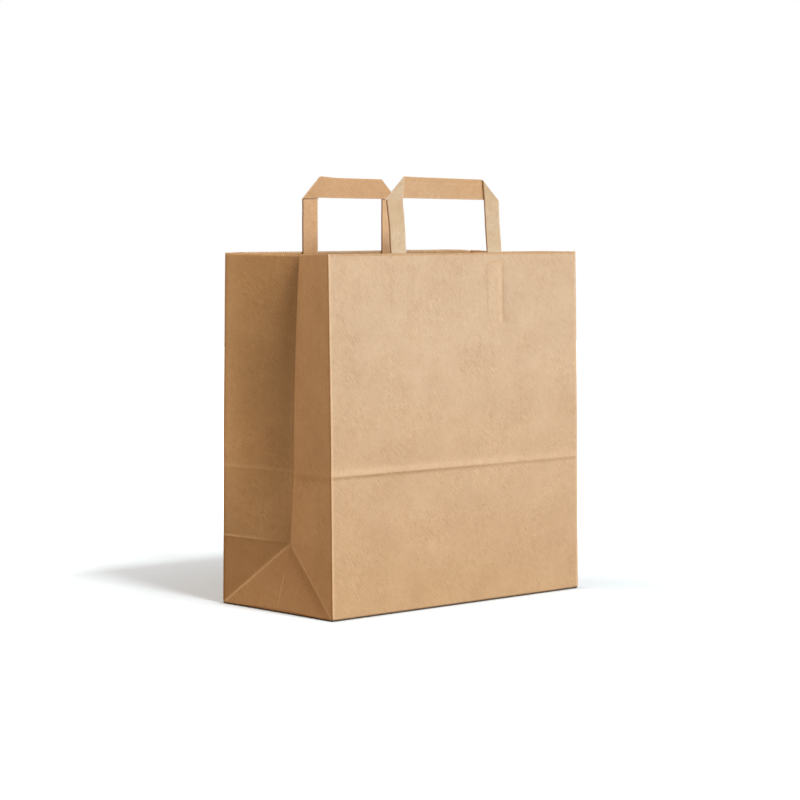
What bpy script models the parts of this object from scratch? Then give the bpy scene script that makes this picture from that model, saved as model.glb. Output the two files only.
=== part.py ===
"""Paper carrier bag with a block bottom, tucked side gussets and flat folded strap handles.

The bag is one sheet of kraft paper: a front panel, a back panel and two gussets make a tube, closed by
a lap seam in the back panel, and the lower end of the tube is folded and glued into a flat bottom.
Each handle is one flat strap, folded over at 45 degrees at both ends of the grip. Its legs are glued
inside a panel, under a paper patch.

Metres, +Z up. +X runs along the wide panels, the front panel faces -Y, and the origin is under the
middle of the base. A height below is measured along the sheet, up from the base.
"""

import math

import bmesh
import bpy
from mathutils import Vector

# The bag
BAG_WIDTH = 0.320
BAG_DEPTH = 0.158
BAG_HEIGHT = 0.3305
PAPER = 0.0002

# Creases that run round the bag: the lower one is where the bottom folds up flat against the back
# panel, and the upper one is where the folded bottom ends
LOWER_CREASE = 0.065
UPPER_CREASE = 0.130

# How far the centre crease of a gusset is tucked in, at three heights
TUCK_AT_LOWER_CREASE = 0.0175
TUCK_AT_UPPER_CREASE = 0.0213
TUCK_AT_RIM = 0.0290
TUCK_CURVE = 1.8
RIM_DIP = 0.0012
ROWS_ABOVE_CREASE = 4

# Lap seam, from the right side edge of the back panel
SEAM_INSET = 0.030
SEAM_LAP = 0.020

# Block bottom
FLAP_LAP = 0.025
FLAP_STEP = 0.0006
CORNER_KEEP = 0.0015
END_FLAP_INSET = 0.8 * PAPER

# Strap handles
STRAP_WIDTH = 0.0195
STRAP_THICKNESS = 0.0008
LEG_REACH = 0.065
FRONT_GRIP_HEIGHT = 0.0695
FRONT_HANDLE_SPAN = 0.1424
FRONT_HANDLE_CENTRE = -0.0125
FRONT_HANDLE_LEAN = math.radians(5.0)
FRONT_HANDLE_SLOPE = math.radians(0.9)
REAR_GRIP_HEIGHT = 0.0707
REAR_HANDLE_SPAN = 0.1215
REAR_HANDLE_CENTRE = -0.0050
REAR_HANDLE_LEAN = math.radians(0.0)
REAR_HANDLE_SLOPE = math.radians(-0.7)
FOLD_STEPS = 6

# Patches over the legs
PATCH_DROP = 0.010
PATCH_HEIGHT = 0.058
PATCH_MARGIN = 0.024
PATCH_RAMP = 0.003

# Air between two pieces that are glued face to face
GLUE_GAP = 0.0003

# How far a cutter runs past what it cuts
OVERRUN = 0.001

KRAFT = (0.62, 0.34, 0.15)
STRAP_KRAFT = (0.63, 0.35, 0.16)
PATCH_KRAFT = (0.58, 0.32, 0.14)
PAPER_ROUGHNESS = 0.85


def clear_scene():
    for item in list(bpy.data.objects):
        bpy.data.objects.remove(item, do_unlink=True)


def paper_material(name, colour):
    material = bpy.data.materials.new(name)
    material.use_nodes = True
    shader = material.node_tree.nodes["Principled BSDF"]
    shader.inputs["Base Color"].default_value = (*colour, 1.0)
    shader.inputs["Roughness"].default_value = PAPER_ROUGHNESS
    shader.inputs["Metallic"].default_value = 0.0
    return material


def mesh_object(name, bm, material=None):
    """Turn a bmesh into an object of the scene."""
    mesh = bpy.data.meshes.new(name)
    bm.to_mesh(mesh)
    bm.free()
    if material:
        mesh.materials.append(material)
    item = bpy.data.objects.new(name, mesh)
    bpy.context.scene.collection.objects.link(item)
    return item


def mix(low, high, share):
    return low + (high - low) * share


# The sheet, at a height above the base


def tuck(height):
    """How far the centre crease of a gusset lies inside the side of the bag."""
    if height <= LOWER_CREASE:
        return TUCK_AT_LOWER_CREASE * height / LOWER_CREASE
    if height <= UPPER_CREASE:
        share = (height - LOWER_CREASE) / (UPPER_CREASE - LOWER_CREASE)
        return mix(TUCK_AT_LOWER_CREASE, TUCK_AT_UPPER_CREASE, share)
    share = (height - UPPER_CREASE) / (BAG_HEIGHT - UPPER_CREASE)
    return mix(TUCK_AT_UPPER_CREASE, TUCK_AT_RIM, share**TUCK_CURVE)


def half_depth(height):
    """From the middle of the bag out to a wide panel: a half gusset keeps its flat width as it tucks in."""
    return math.sqrt((BAG_DEPTH / 2) ** 2 - tuck(height) ** 2)


def crease_level(height):
    """Level of the gusset's centre crease, which drops a little as the base triangle leans in."""
    apex = math.sqrt(LOWER_CREASE**2 - TUCK_AT_LOWER_CREASE**2)
    if height <= LOWER_CREASE:
        return apex * height / LOWER_CREASE
    share = (height - LOWER_CREASE) / (BAG_HEIGHT - LOWER_CREASE)
    return mix(apex, BAG_HEIGHT - RIM_DIP, share)


def wall_rows():
    """Heights at which the tube's outline is drawn: the base, both creases, and rows up to the rim."""
    rows = [0.0, LOWER_CREASE, UPPER_CREASE]
    for step in range(1, ROWS_ABOVE_CREASE + 1):
        rows.append(mix(UPPER_CREASE, BAG_HEIGHT, step / ROWS_ABOVE_CREASE))
    return rows


def outline(height):
    """Outer face of the tube, anticlockwise from the front left edge; the seam is a step of one ply."""
    side = BAG_WIDTH / 2
    depth = half_depth(height)
    crease = side - tuck(height)
    seam = side - SEAM_INSET
    level = crease_level(height)
    return [
        Vector((-side, -depth, height)),
        Vector((side, -depth, height)),
        Vector((crease, 0.0, level)),
        Vector((side, depth - PAPER, height)),
        Vector((seam, depth - PAPER, height)),
        Vector((seam, depth, height)),
        Vector((-side, depth, height)),
        Vector((-crease, 0.0, level)),
    ]


# Places in the outline
CREASE_POINTS = (2, 7)
SEAM_POINTS = (4, 5)


def inside(points):
    """The outline one ply further in, with the seam's inner step a lap away from its outer one."""
    result = []
    count = len(points)
    for index, point in enumerate(points):
        arriving = (point - points[index - 1]).xy.normalized()
        leaving = (points[(index + 1) % count] - point).xy.normalized()
        first = Vector((-arriving.y, arriving.x))
        second = Vector((-leaving.y, leaving.x))
        shift = (first + second) * PAPER / (1.0 + first.dot(second))
        moved = Vector((point.x + shift.x, point.y + shift.y, point.z))
        if index in SEAM_POINTS:
            moved.x = point.x - SEAM_LAP
        result.append(moved)
    return result


def skin(bm, lower, upper, outward):
    """Faces between two rows. A half gusset is split from its lower edge point to its upper crease point,
    which on the base row is the fold from a corner of the base to the tip of the base triangle."""
    count = len(lower)
    for index in range(count):
        after = (index + 1) % count
        quad = [lower[index], lower[after], upper[after], upper[index]]
        faces = [quad]
        if after in CREASE_POINTS:
            faces = [[quad[0], quad[1], quad[2]], [quad[0], quad[2], quad[3]]]
        if index in CREASE_POINTS:
            faces = [[quad[0], quad[1], quad[3]], [quad[1], quad[2], quad[3]]]
        for face in faces:
            bm.faces.new(face if outward else face[::-1])


def folded_tube():
    """The tube and its flat bottom as one sheet of even thickness, open at the rim."""
    bm = bmesh.new()
    outer_rows = []
    inner_rows = []
    for height in wall_rows():
        points = outline(height)
        outer_rows.append([bm.verts.new(point) for point in points])
        inner_points = inside(points)
        if height == 0.0:
            for point in inner_points:
                point.z = PAPER
        inner_rows.append([bm.verts.new(point) for point in inner_points])
    for row in range(len(outer_rows) - 1):
        skin(bm, outer_rows[row], outer_rows[row + 1], outward=True)
        skin(bm, inner_rows[row], inner_rows[row + 1], outward=False)
    bm.faces.new(outer_rows[0][::-1])
    bm.faces.new(inner_rows[0])
    rim_out, rim_in = outer_rows[-1], inner_rows[-1]
    for index in range(len(rim_out)):
        after = (index + 1) % len(rim_out)
        bm.faces.new([rim_out[index], rim_out[after], rim_in[after], rim_in[index]])
    return bm


# Flaps of the block bottom


def prism(name, corners, low, high):
    """An upright block over a flat outline, used as an operand and left out of the render."""
    bm = bmesh.new()
    base = [bm.verts.new((x, y, low)) for x, y in corners]
    face = bm.faces.new(base)
    grown = bmesh.ops.extrude_face_region(bm, geom=[face])["geom"]
    top = [item for item in grown if isinstance(item, bmesh.types.BMVert)]
    bmesh.ops.translate(bm, verts=top, vec=(0.0, 0.0, high - low))
    bmesh.ops.recalc_face_normals(bm, faces=bm.faces)
    item = mesh_object(name, bm)
    item.hide_render = True
    item.display_type = "WIRE"
    return item


def flap_reach():
    """How far a flap folds in from the edge of the base: to the middle and half a lap beyond."""
    return BAG_DEPTH / 2 + FLAP_LAP / 2


def foot_points(side, face, start):
    """Middle of a wide panel's foot, from near a side edge in to where the end flap stops.

    Between the lap seam and its side edge the back panel stands one ply further in."""
    reach = BAG_WIDTH / 2 - flap_reach()
    level = BAG_DEPTH / 2 - PAPER / 2
    if side < 0 or face < 0:
        return [(side * start, face * level), (side * reach, face * level)]
    seam = max(BAG_WIDTH / 2 - SEAM_INSET - SEAM_LAP / 2, reach + PAPER)
    return [(start, level - PAPER), (seam, level - PAPER), (seam, level), (reach, level)]


def end_flap(side):
    """The gusset's own end, folded in first, so one ply above the wide flaps."""
    edge = BAG_WIDTH / 2 - END_FLAP_INSET
    corners = foot_points(side, -1, edge) + foot_points(side, 1, edge)[::-1]
    return prism("end_flap", corners, PAPER / 2, 2 * PAPER)


def corner_fold(side, face):
    """The triangle that a wide flap doubles back under the end flap."""
    tip = BAG_WIDTH / 2 - 4 * PAPER
    foot = foot_points(side, face, tip)
    start, end = foot[0], foot[-1]
    run = abs(start[0] - end[0])
    point = (end[0], end[1] - face * run)
    return prism("corner_fold", [*foot, point], PAPER / 2, 3 * PAPER)


def flap_edge():
    """Free edge of the rear flap across the underside, from left to right."""
    middle = BAG_WIDTH / 2 - BAG_DEPTH / 2
    reach = BAG_WIDTH / 2 - flap_reach()
    return [(-middle, 0.0), (-reach, -FLAP_LAP / 2), (reach, -FLAP_LAP / 2), (middle, 0.0)]


def raised_lap():
    """The front flap where it lies on the rear one, so one ply up, with a step to clear its edge."""
    lower = [(x, y - 2 * FLAP_STEP) for x, y in flap_edge()]
    upper = [(x, FLAP_LAP / 2) for x, _ in flap_edge()[1:3]]
    return prism("raised_lap", lower + upper[::-1], PAPER / 2, 2 * PAPER)


def lap_groove():
    """The narrow groove beside the rear flap's free edge, where the front flap steps up."""
    lower = [(x, y - FLAP_STEP) for x, y in flap_edge()]
    return prism("lap_groove", lower + flap_edge()[::-1], -OVERRUN, PAPER)


def end_recess(side):
    """The end triangle of the underside, where only the end flap shows, one ply up."""
    edge = BAG_WIDTH / 2 + OVERRUN
    half = BAG_DEPTH / 2 - CORNER_KEEP
    corners = [
        (side * edge, -half - OVERRUN),
        (side * (BAG_WIDTH / 2 - half), 0.0),
        (side * edge, half + OVERRUN),
    ]
    return prism("end_recess", corners, -OVERRUN, PAPER)


def combine(item, operand, operation):
    modifier = item.modifiers.new(operand.name, "BOOLEAN")
    modifier.operation = operation
    modifier.solver = "EXACT"
    modifier.object = operand


def bag_body(parent):
    item = mesh_object("bag_body", folded_tube(), paper_material("kraft", KRAFT))
    item.parent = parent
    for side in (-1, 1):
        combine(item, end_flap(side), "UNION")
        for face in (-1, 1):
            combine(item, corner_fold(side, face), "UNION")
    combine(item, raised_lap(), "UNION")
    for side in (-1, 1):
        combine(item, end_recess(side), "DIFFERENCE")
    combine(item, lap_groove(), "DIFFERENCE")
    return item


# Handles, in a frame of their own: x along the panel from the middle of the handle, y into the bag
# from the panel's inner face, z up from the rim


def panel_offset(level):
    """Inner face of the panel below the rim, which stands further out lower down."""
    rows = wall_rows()
    height = BAG_HEIGHT + level
    for low, high in zip(rows, rows[1:]):
        if low <= height <= high:
            share = (height - low) / (high - low)
            return half_depth(BAG_HEIGHT) - mix(half_depth(low), half_depth(high), share)
    return 0.0


def panel_rows(bottom, top):
    """Levels below the rim at which a piece on the panel bends with it."""
    between = [row - BAG_HEIGHT for row in wall_rows() if bottom < row - BAG_HEIGHT < top]
    return [bottom, *between, top]


def fold_radius():
    """Bend radius of the strap's middle at a fold, which leaves the glue gap between the two plies."""
    return (STRAP_THICKNESS + GLUE_GAP) / 2


def strap_point(across, level, span, grip):
    """Place of a point of the left half of the strap, given where it would be with the strap held straight.

    Beyond a line at 45 degrees the strap wraps round behind itself and runs on along the grip."""
    radius = fold_radius()
    turn = math.pi * radius
    centre = -(span - STRAP_WIDTH) / 2
    corner = grip - STRAP_WIDTH / 2 - turn / math.sqrt(2)
    along = (level - corner + across) / math.sqrt(2)
    beyond = (level - corner - across) / math.sqrt(2)
    out, back = beyond, 0.0
    if 0.0 < beyond < turn:
        out = radius * math.sin(beyond / radius)
        back = radius * (1.0 - math.cos(beyond / radius))
    elif beyond >= turn:
        out = turn - beyond
        back = 2.0 * radius
    return Vector((centre + (along - out) / math.sqrt(2), back, corner + (along + out) / math.sqrt(2)))


def strap_levels(span, grip):
    """Rows across the left half of the strap, each as the levels of its outer and inner edge."""
    half = STRAP_WIDTH / 2
    turn = math.pi * fold_radius()
    corner = grip - half - turn / math.sqrt(2)
    rows = [(level, level) for level in panel_rows(-LEG_REACH, 0.0)]
    for step in range(FOLD_STEPS + 1):
        lift = math.sqrt(2) * turn * step / FOLD_STEPS
        rows.append((corner - half + lift, corner + half + lift))
    middle = corner + (span - STRAP_WIDTH) / 2 + turn / math.sqrt(2)
    rows.append((middle, middle))
    return rows


def leaned(point, grip, lean, slope):
    """Stand the strap off the panel below the rim, and tip it into the bag above the rim.

    The grip slopes a little, because one leg is glued in lower than the other."""
    stand_off = GLUE_GAP + STRAP_THICKNESS / 2
    if point.z <= 0.0:
        return Vector((point.x, point.y + stand_off + panel_offset(point.z), point.z))
    up = point.z * (1.0 - math.tan(slope) * point.x / grip)
    y = point.y * math.cos(lean) + up * math.sin(lean)
    z = up * math.cos(lean) - point.y * math.sin(lean)
    return Vector((point.x, y + stand_off, z))


def strap_sheet(span, grip, lean, slope):
    """Middle surface of the whole strap: the left half, then its mirror image from the grip down."""
    half = STRAP_WIDTH / 2
    rows = []
    for outer, inner in strap_levels(span, grip):
        rows.append([strap_point(-half, outer, span, grip), strap_point(half, inner, span, grip)])
    mirrored = [[Vector((-p.x, p.y, p.z)) for p in row] for row in rows[-2::-1]]
    bm = bmesh.new()
    placed = []
    for row in rows + mirrored:
        placed.append([bm.verts.new(leaned(point, grip, lean, slope)) for point in row])
    for first, second in zip(placed, placed[1:]):
        bm.faces.new([first[0], first[1], second[1], second[0]])
    return bm


def thicken(item, thickness):
    """Give a middle surface its thickness, half to each side."""
    modifier = item.modifiers.new("thickness", "SOLIDIFY")
    modifier.thickness = thickness
    modifier.offset = 0.0
    modifier.use_even_offset = True


def stand_in_bag(item, parent, centre, facing):
    """Place a piece on the inner face of the front panel (facing 1) or of the back panel (facing -1)."""
    item.parent = parent
    item.location = (centre, -facing * (half_depth(BAG_HEIGHT) - PAPER), BAG_HEIGHT)
    item.rotation_euler = (0.0, 0.0, 0.0 if facing > 0 else math.pi)


def handle(name, parent, strap, centre, facing):
    material = paper_material(name + "_kraft", STRAP_KRAFT)
    item = mesh_object(name, strap, material)
    thicken(item, STRAP_THICKNESS)
    stand_in_bag(item, parent, centre, facing)
    return item


def patch_profile(span):
    """Middle line of a patch across the panel: flat against it, and raised over each leg."""
    low = GLUE_GAP + PAPER / 2
    high = low + STRAP_THICKNESS + GLUE_GAP
    end = span / 2 + PATCH_MARGIN
    outer = span / 2
    inner = span / 2 - STRAP_WIDTH
    left = [
        (-end, low),
        (-outer - PATCH_RAMP, low),
        (-outer - GLUE_GAP, high),
        (-inner + GLUE_GAP, high),
        (-inner + PATCH_RAMP, low),
    ]
    return left + [(-x, y) for x, y in left[::-1]]


def patch_sheet(span):
    bm = bmesh.new()
    rows = []
    for level in panel_rows(-PATCH_DROP - PATCH_HEIGHT, -PATCH_DROP):
        offset = panel_offset(level)
        rows.append([bm.verts.new((x, y + offset, level)) for x, y in patch_profile(span)])
    for lower, upper in zip(rows, rows[1:]):
        for index in range(len(lower) - 1):
            bm.faces.new([lower[index], lower[index + 1], upper[index + 1], upper[index]])
    return bm


def handle_patch(name, parent, span, centre, facing):
    item = mesh_object(name, patch_sheet(span), paper_material(name + "_kraft", PATCH_KRAFT))
    thicken(item, PAPER)
    stand_in_bag(item, parent, centre, facing)
    return item


def build():
    clear_scene()
    bag = bpy.data.objects.new("carrier_bag", None)
    bpy.context.scene.collection.objects.link(bag)
    bag_body(bag)
    front = strap_sheet(FRONT_HANDLE_SPAN, FRONT_GRIP_HEIGHT, FRONT_HANDLE_LEAN, FRONT_HANDLE_SLOPE)
    rear = strap_sheet(REAR_HANDLE_SPAN, REAR_GRIP_HEIGHT, REAR_HANDLE_LEAN, REAR_HANDLE_SLOPE)
    handle("front_handle", bag, front, FRONT_HANDLE_CENTRE, 1)
    handle("rear_handle", bag, rear, REAR_HANDLE_CENTRE, -1)
    handle_patch("front_handle_patch", bag, FRONT_HANDLE_SPAN, FRONT_HANDLE_CENTRE, 1)
    handle_patch("rear_handle_patch", bag, REAR_HANDLE_SPAN, REAR_HANDLE_CENTRE, -1)


build()
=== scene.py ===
"""Paper carrier bag: the folded kraft sheet, its two strap handles and their patches.

Metres: +Z up, the front panel faces -Y, the origin is under the middle of the base.
A place on the bag is given on the flat sheet: u runs along the sheet from the inner edge of the lap
seam, and h is the height above the base, measured along the sheet.
"""

from math import copysign, cos, exp, floor, hypot, pi, radians, sin, sqrt, tan

import bmesh
import bpy
import numpy as np
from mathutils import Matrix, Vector, noise


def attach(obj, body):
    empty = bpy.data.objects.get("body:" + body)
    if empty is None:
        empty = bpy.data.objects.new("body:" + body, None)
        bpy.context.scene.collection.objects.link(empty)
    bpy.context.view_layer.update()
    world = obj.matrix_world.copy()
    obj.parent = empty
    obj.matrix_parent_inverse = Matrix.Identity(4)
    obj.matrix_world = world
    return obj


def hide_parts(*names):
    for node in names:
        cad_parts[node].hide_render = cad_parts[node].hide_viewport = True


# The bag, as in its solids
BAG_WIDTH = 0.320
BAG_DEPTH = 0.158
BAG_HEIGHT = 0.3305
PAPER = 0.0002
LOWER_CREASE = 0.065
UPPER_CREASE = 0.130
TUCK_AT_LOWER_CREASE = 0.0175
TUCK_AT_UPPER_CREASE = 0.0213
TUCK_AT_RIM = 0.0290
TUCK_CURVE = 1.8
RIM_DIP = 0.0012
SEAM_INSET = 0.030
SEAM_LAP = 0.020
FLAP_LAP = 0.025
SIDE = BAG_WIDTH / 2
HALF = BAG_DEPTH / 2

# The handles and the patches over their legs, as in their solids
STRAP_WIDTH = 0.0195
STRAP_THICKNESS = 0.0008
LEG_REACH = 0.065
FRONT_GRIP = 0.0695
FRONT_SPAN = 0.1424
FRONT_CENTRE = -0.0125
FRONT_LEAN = radians(5.0)
FRONT_SLOPE = radians(0.9)
REAR_GRIP = 0.0707
REAR_SPAN = 0.1215
REAR_CENTRE = -0.0050
REAR_LEAN = 0.0
REAR_SLOPE = radians(-0.7)
PATCH_DROP = 0.010
PATCH_HEIGHT = 0.058
PATCH_MARGIN = 0.024
PATCH_RAMP = 0.003
GLUE_GAP = 0.0003

# A strap's left fold is pressed askew: where its upper and its lower end go, as (x, z)
FRONT_SKEW = ((0.0032, 0.0002), (-0.0010, -0.0017))
REAR_SKEW = ((0.0025, 0.0010), (0.0, -0.0010))
SKEW_REACH = 0.026

# Fine shape of the folded sheet
GUSSET_SAG = 0.0056  # hollow of the rear half of a gusset
REAR_CROWN = 0.0005
RIGHT_CROWN = 0.0004
REAR_CROWN_REACH = 0.06
GUSSET_CROWN = 0.0007  # rise of the right gusset's rim at its crease
GUSSET_CROWN_REACH = 0.04
BELLY = 0.0011
BELLY_LOW = 0.090
BELLY_HIGH = 0.140
WAVE = 0.00095
RIPPLE = 0.00016
LEG_RAISE = 0.00008  # outline of a leg above its patch
PATCH_RAISE = 0.00024  # and what the patch adds
GLUE_GROOVE = 0.00028
DENT_OVER_PATCH = 0.00016  # deepest dent of a wide panel over its patch
DENT = 0.0040
PLY_GAP = 0.00005
PLY = PAPER + PLY_GAP
FOLD = 0.0009  # half the width of a rounded upright fold
BASE_LIFT = 0.00085  # the foot of the walls turns under
BASE_INSET = 0.00045
CORNER_CRUSH = (0.0005, 0.0004, 0.0002)
CORNER_REACH = 0.0040
FLAP_REACH = HALF + FLAP_LAP / 2
FLAP_MEETS = HALF - FLAP_LAP / 2  # how far in a wide flap meets the other one
FLAP_STEP = 0.0012
TOOTH_PITCH = 0.0024
TOOTH_DEPTH = 0.0007
TOOTH_BAND = 0.0026

# Steps of the meshes: beside a fold, and the widest
PANEL_STEPS = (0.0008, 0.0043)
CREASE_STEPS = (0.0008, 0.0042)
GUSSET_STEPS = (0.0008, 0.0040)
LAP_STEPS = (0.0010, 0.0044)
FLAP_STEPS = (0.0012, 0.0050)
PATCH_STEPS = (0.0006, 0.0035)
PATCH_RISES = (0.0008, 0.0035)
TRIANGLE_ROWS = 14
STRAP_STEP = 0.0030
STRAP_LANES = 13
FOLD_ROWS = 12
SAME_PLACE = 1e-7
NUDGE = 1e-5

# Paper: its colours and what scales them, and the angle and strength of its fibres
KRAFT = (0.62, 0.338, 0.143)
STRAP_KRAFT = (0.63, 0.350, 0.155)
PATCH_KRAFT = (0.58, 0.31, 0.14)
DARK_PULP = (0.62, 0.54, 0.42)
PALE_PULP = (1.26, 1.40, 1.62)
# Pale marks are partly rubbed paper and partly painted highlight; dark marks are painted shade
RUB_AND_PAINTED_HIGHLIGHT = (1.35, 1.55, 1.95)
PAINTED_SHADE = (0.62, 0.52, 0.42)
FLECK = (0.20, 0.105, 0.045)
FIBRES = ((36.0, 0.19), (27.0, 0.14), (46.0, 0.14), (-25.0, 0.08), (80.0, 0.08))
# Painted tint: warmer where the paper has no gloss, as on the gussets that stand in shade, and duller
# where it is glossy and lit
SHADE_SIDE_PAINTED_TINT = (1.04, 0.965, 0.90)
LIT_SIDE_PAINTED_TINT = (0.80, 0.86, 0.84)

# Studio
CAMERA_PLACE = (-1.6656, -1.8095, 0.3590)
CAMERA_PITCH = radians(3.964)
CAMERA_TURN = radians(-42.537)
LENS = 115.71
SENSOR = 36.0
LAMP_AIM = (0.0, 0.0, 0.16)
LAMPS = {  # azimuth, elevation, distance, size, power and colour
    "high_key": (-3.0, 51.0, 6.0, (1.60, 0.60), 218.0, (0.99, 1.01, 1.0)),
    "low_left": (-9.5, 24.0, 4.0, (1.12, 0.40), 46.0, (0.99, 1.01, 1.0)),
    "front_right": (39.5, 3.5, 2.6, (0.8, 0.4), 9.3, (0.96, 1.04, 1.0)),
    "rear_left": (-150.0, 20.0, 2.6, (1.2, 1.2), 28.5, (1.04, 0.98, 0.92)),
}
WORLD_STRENGTH = 0.15
WORLD_COLOUR = (1.0, 0.93, 0.84)
FLOOR_REACH = 4.0
FLOOR_LEVEL = -0.0003
FLOOR_TONE = (0.89, 0.95, 1.00)
BOUNCE_TONE = (0.35, 0.34, 0.31)  # what lights the bag from below
GLOW_COLOUR = (0.96, 0.98, 1.0)
# The floor's glow is painted light: weak near the bag and stronger further out, so that the bag's
# shadow fades with distance
GLOW_NEAR = (0.17, 0.45, 0.21, 0.44)  # distances, and the floor's glow at them
GLOW_FAR = (0.45, 0.75, 0.0, 0.72)
GLOW_EDGE = 0.010

# Places along the flat sheet
U_START = 0.0
U_REAR_RIGHT = SEAM_INSET + SEAM_LAP
U_RIGHT_CREASE = U_REAR_RIGHT + HALF
U_FRONT_RIGHT = U_RIGHT_CREASE + HALF
U_FRONT_LEFT = U_FRONT_RIGHT + BAG_WIDTH
U_LEFT_CREASE = U_FRONT_LEFT + HALF
U_REAR_LEFT = U_LEFT_CREASE + HALF
U_END = U_REAR_LEFT + BAG_WIDTH - SEAM_INSET
FOLDS = (U_REAR_RIGHT, U_RIGHT_CREASE, U_FRONT_RIGHT, U_FRONT_LEFT, U_LEFT_CREASE, U_REAR_LEFT)
CREASES = (U_RIGHT_CREASE, U_LEFT_CREASE)

GUSSETS = {"right_rear": (1, 1), "right_front": (1, -1), "left_front": (-1, -1), "left_rear": (-1, 1)}


def mix(low, high, share):
    return low + (high - low) * share


def smooth(low, high, value):
    """0 below low, 1 above high, and a soft step between them."""
    share = min(1.0, max(0.0, (value - low) / (high - low)))
    return share * share * (3.0 - 2.0 * share)


def hump(distance, width):
    """1 at no distance, falling off on both sides."""
    return exp(-((distance / width) ** 2))


def graded(start, end, fine, coarse, growth=1.6):
    """Places from start to end, close together near both and further apart between them."""
    half = (end - start) / 2
    offsets = [0.0]
    step = fine
    while offsets[-1] + step < half:
        offsets.append(offsets[-1] + step)
        step = min(step * growth, coarse)
    places = [start + offset for offset in offsets]
    gap = 2 * (half - offsets[-1])
    parts = max(1, round(gap / coarse))
    places += [places[-1] + gap * part / parts for part in range(1, parts)]
    return places + [end - offset for offset in offsets[::-1]]


def graded_run(marks, fine, coarse):
    """graded() between each two neighbouring marks, as one list."""
    places = [marks[0]]
    for low, high in zip(marks, marks[1:]):
        places += graded(low, high, min(fine, (high - low) / 2), coarse)[1:]
    return places


# Shape of the tube, as in the solids, with a slight belly and crown


def tuck(height):
    """From the side of the bag in to a gusset's centre crease."""
    if height <= LOWER_CREASE:
        return TUCK_AT_LOWER_CREASE * height / LOWER_CREASE
    if height <= UPPER_CREASE:
        share = (height - LOWER_CREASE) / (UPPER_CREASE - LOWER_CREASE)
        return mix(TUCK_AT_LOWER_CREASE, TUCK_AT_UPPER_CREASE, share)
    share = (height - UPPER_CREASE) / (BAG_HEIGHT - UPPER_CREASE)
    return mix(TUCK_AT_UPPER_CREASE, TUCK_AT_RIM, share**TUCK_CURVE)


def half_depth(height):
    return sqrt(HALF**2 - tuck(height) ** 2)


def panel_depth(height):
    """From the middle of the bag out to a wide panel, with its belly around the upper crease."""
    belly = BELLY * smooth(0.0, BELLY_LOW, height)
    belly *= 1.0 - smooth(BELLY_HIGH, BAG_HEIGHT - LEG_REACH, height)
    if height < LOWER_CREASE:
        return mix(half_depth(0.0), half_depth(LOWER_CREASE), height / LOWER_CREASE) + belly
    return half_depth(height) + belly


def crease_level(height):
    apex = sqrt(LOWER_CREASE**2 - TUCK_AT_LOWER_CREASE**2)
    share = (height - LOWER_CREASE) / (BAG_HEIGHT - LOWER_CREASE)
    return mix(apex, BAG_HEIGHT - RIM_DIP, share)


def edge_point(side, face, height):
    """A vertical edge of the bag; behind the lap seam the back panel stands one ply further in."""
    inset = PLY if side > 0 and face > 0 else 0.0
    return Vector((side * SIDE, face * (panel_depth(height) - inset), height))


def fold_height(across):
    """Height on the sheet of the base triangle's slanting fold."""
    return LOWER_CREASE * (1.0 - across)


def gusset_point(side, face, across, height):
    """A point of a half gusset; across is 0 at its centre crease and 1 at its vertical edge."""
    edge = edge_point(side, face, height)
    if height >= LOWER_CREASE:
        crease = Vector((side * (SIDE - tuck(height)), 0.0, crease_level(height)))
        return crease.lerp(edge, across)
    apex = Vector((side * (SIDE - TUCK_AT_LOWER_CREASE), 0.0, crease_level(LOWER_CREASE)))
    foot = edge_point(side, face, 0.0)
    shoulder = edge_point(side, face, LOWER_CREASE)
    if height >= fold_height(across):
        return apex + (shoulder - apex) * across + (shoulder - foot) * (height / LOWER_CREASE - 1.0)
    other = edge_point(side, -face, 0.0)
    middle = (foot + other) / 2
    return middle + (foot - middle) * across + (apex - middle) * (height / LOWER_CREASE)


def place(u):
    """Part of the sheet at u, and where on it: x, or on a gusset the share from crease to edge."""
    if u <= U_REAR_RIGHT:
        return "back_inner", SIDE - SEAM_INSET - SEAM_LAP + u
    if u <= U_RIGHT_CREASE:
        return "right_rear", (U_RIGHT_CREASE - u) / HALF
    if u <= U_FRONT_RIGHT:
        return "right_front", (u - U_RIGHT_CREASE) / HALF
    if u <= U_FRONT_LEFT:
        return "front", SIDE - (u - U_FRONT_RIGHT)
    if u <= U_LEFT_CREASE:
        return "left_front", (U_LEFT_CREASE - u) / HALF
    if u <= U_REAR_LEFT:
        return "left_rear", (u - U_LEFT_CREASE) / HALF
    return "back_outer", -SIDE + (u - U_REAR_LEFT)


def sharp_point(u, height):
    """Place of a point of the sheet as if each upright fold were sharp."""
    part, where = place(u)
    if part in GUSSETS:
        side, face = GUSSETS[part]
        point = gusset_point(side, face, where, height)
        if side > 0:
            crown = GUSSET_CROWN * (1.0 - smooth(0.55, 1.0, where))
            point.z += crown * smooth(BAG_HEIGHT - GUSSET_CROWN_REACH, BAG_HEIGHT, height)
        return point
    if part == "front":
        return Vector((where, -panel_depth(height), height))
    inset = PLY if part == "back_inner" else 0.0
    crown = REAR_CROWN + RIGHT_CROWN * smooth(-0.02, 0.08, where)
    window = smooth(0.0, 0.02, SIDE - abs(where))
    window *= smooth(BAG_HEIGHT - REAR_CROWN_REACH, BAG_HEIGHT, height)
    return Vector((where, panel_depth(height) - inset, height + crown * window))


def sheet_point(u, height):
    """Place of a point of the sheet, with each upright fold rounded."""
    for fold in FOLDS:
        if abs(u - fold) < FOLD:
            share = (u - fold + FOLD) / (2 * FOLD)
            before = sharp_point(fold - FOLD, height)
            corner = sharp_point(fold, height)
            after = sharp_point(fold + FOLD, height)
            return before.lerp(corner, share).lerp(corner.lerp(after, share), share)
    return sharp_point(u, height)


# Relief of the sheet: how far it stands out from its plain folded shape


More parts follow.
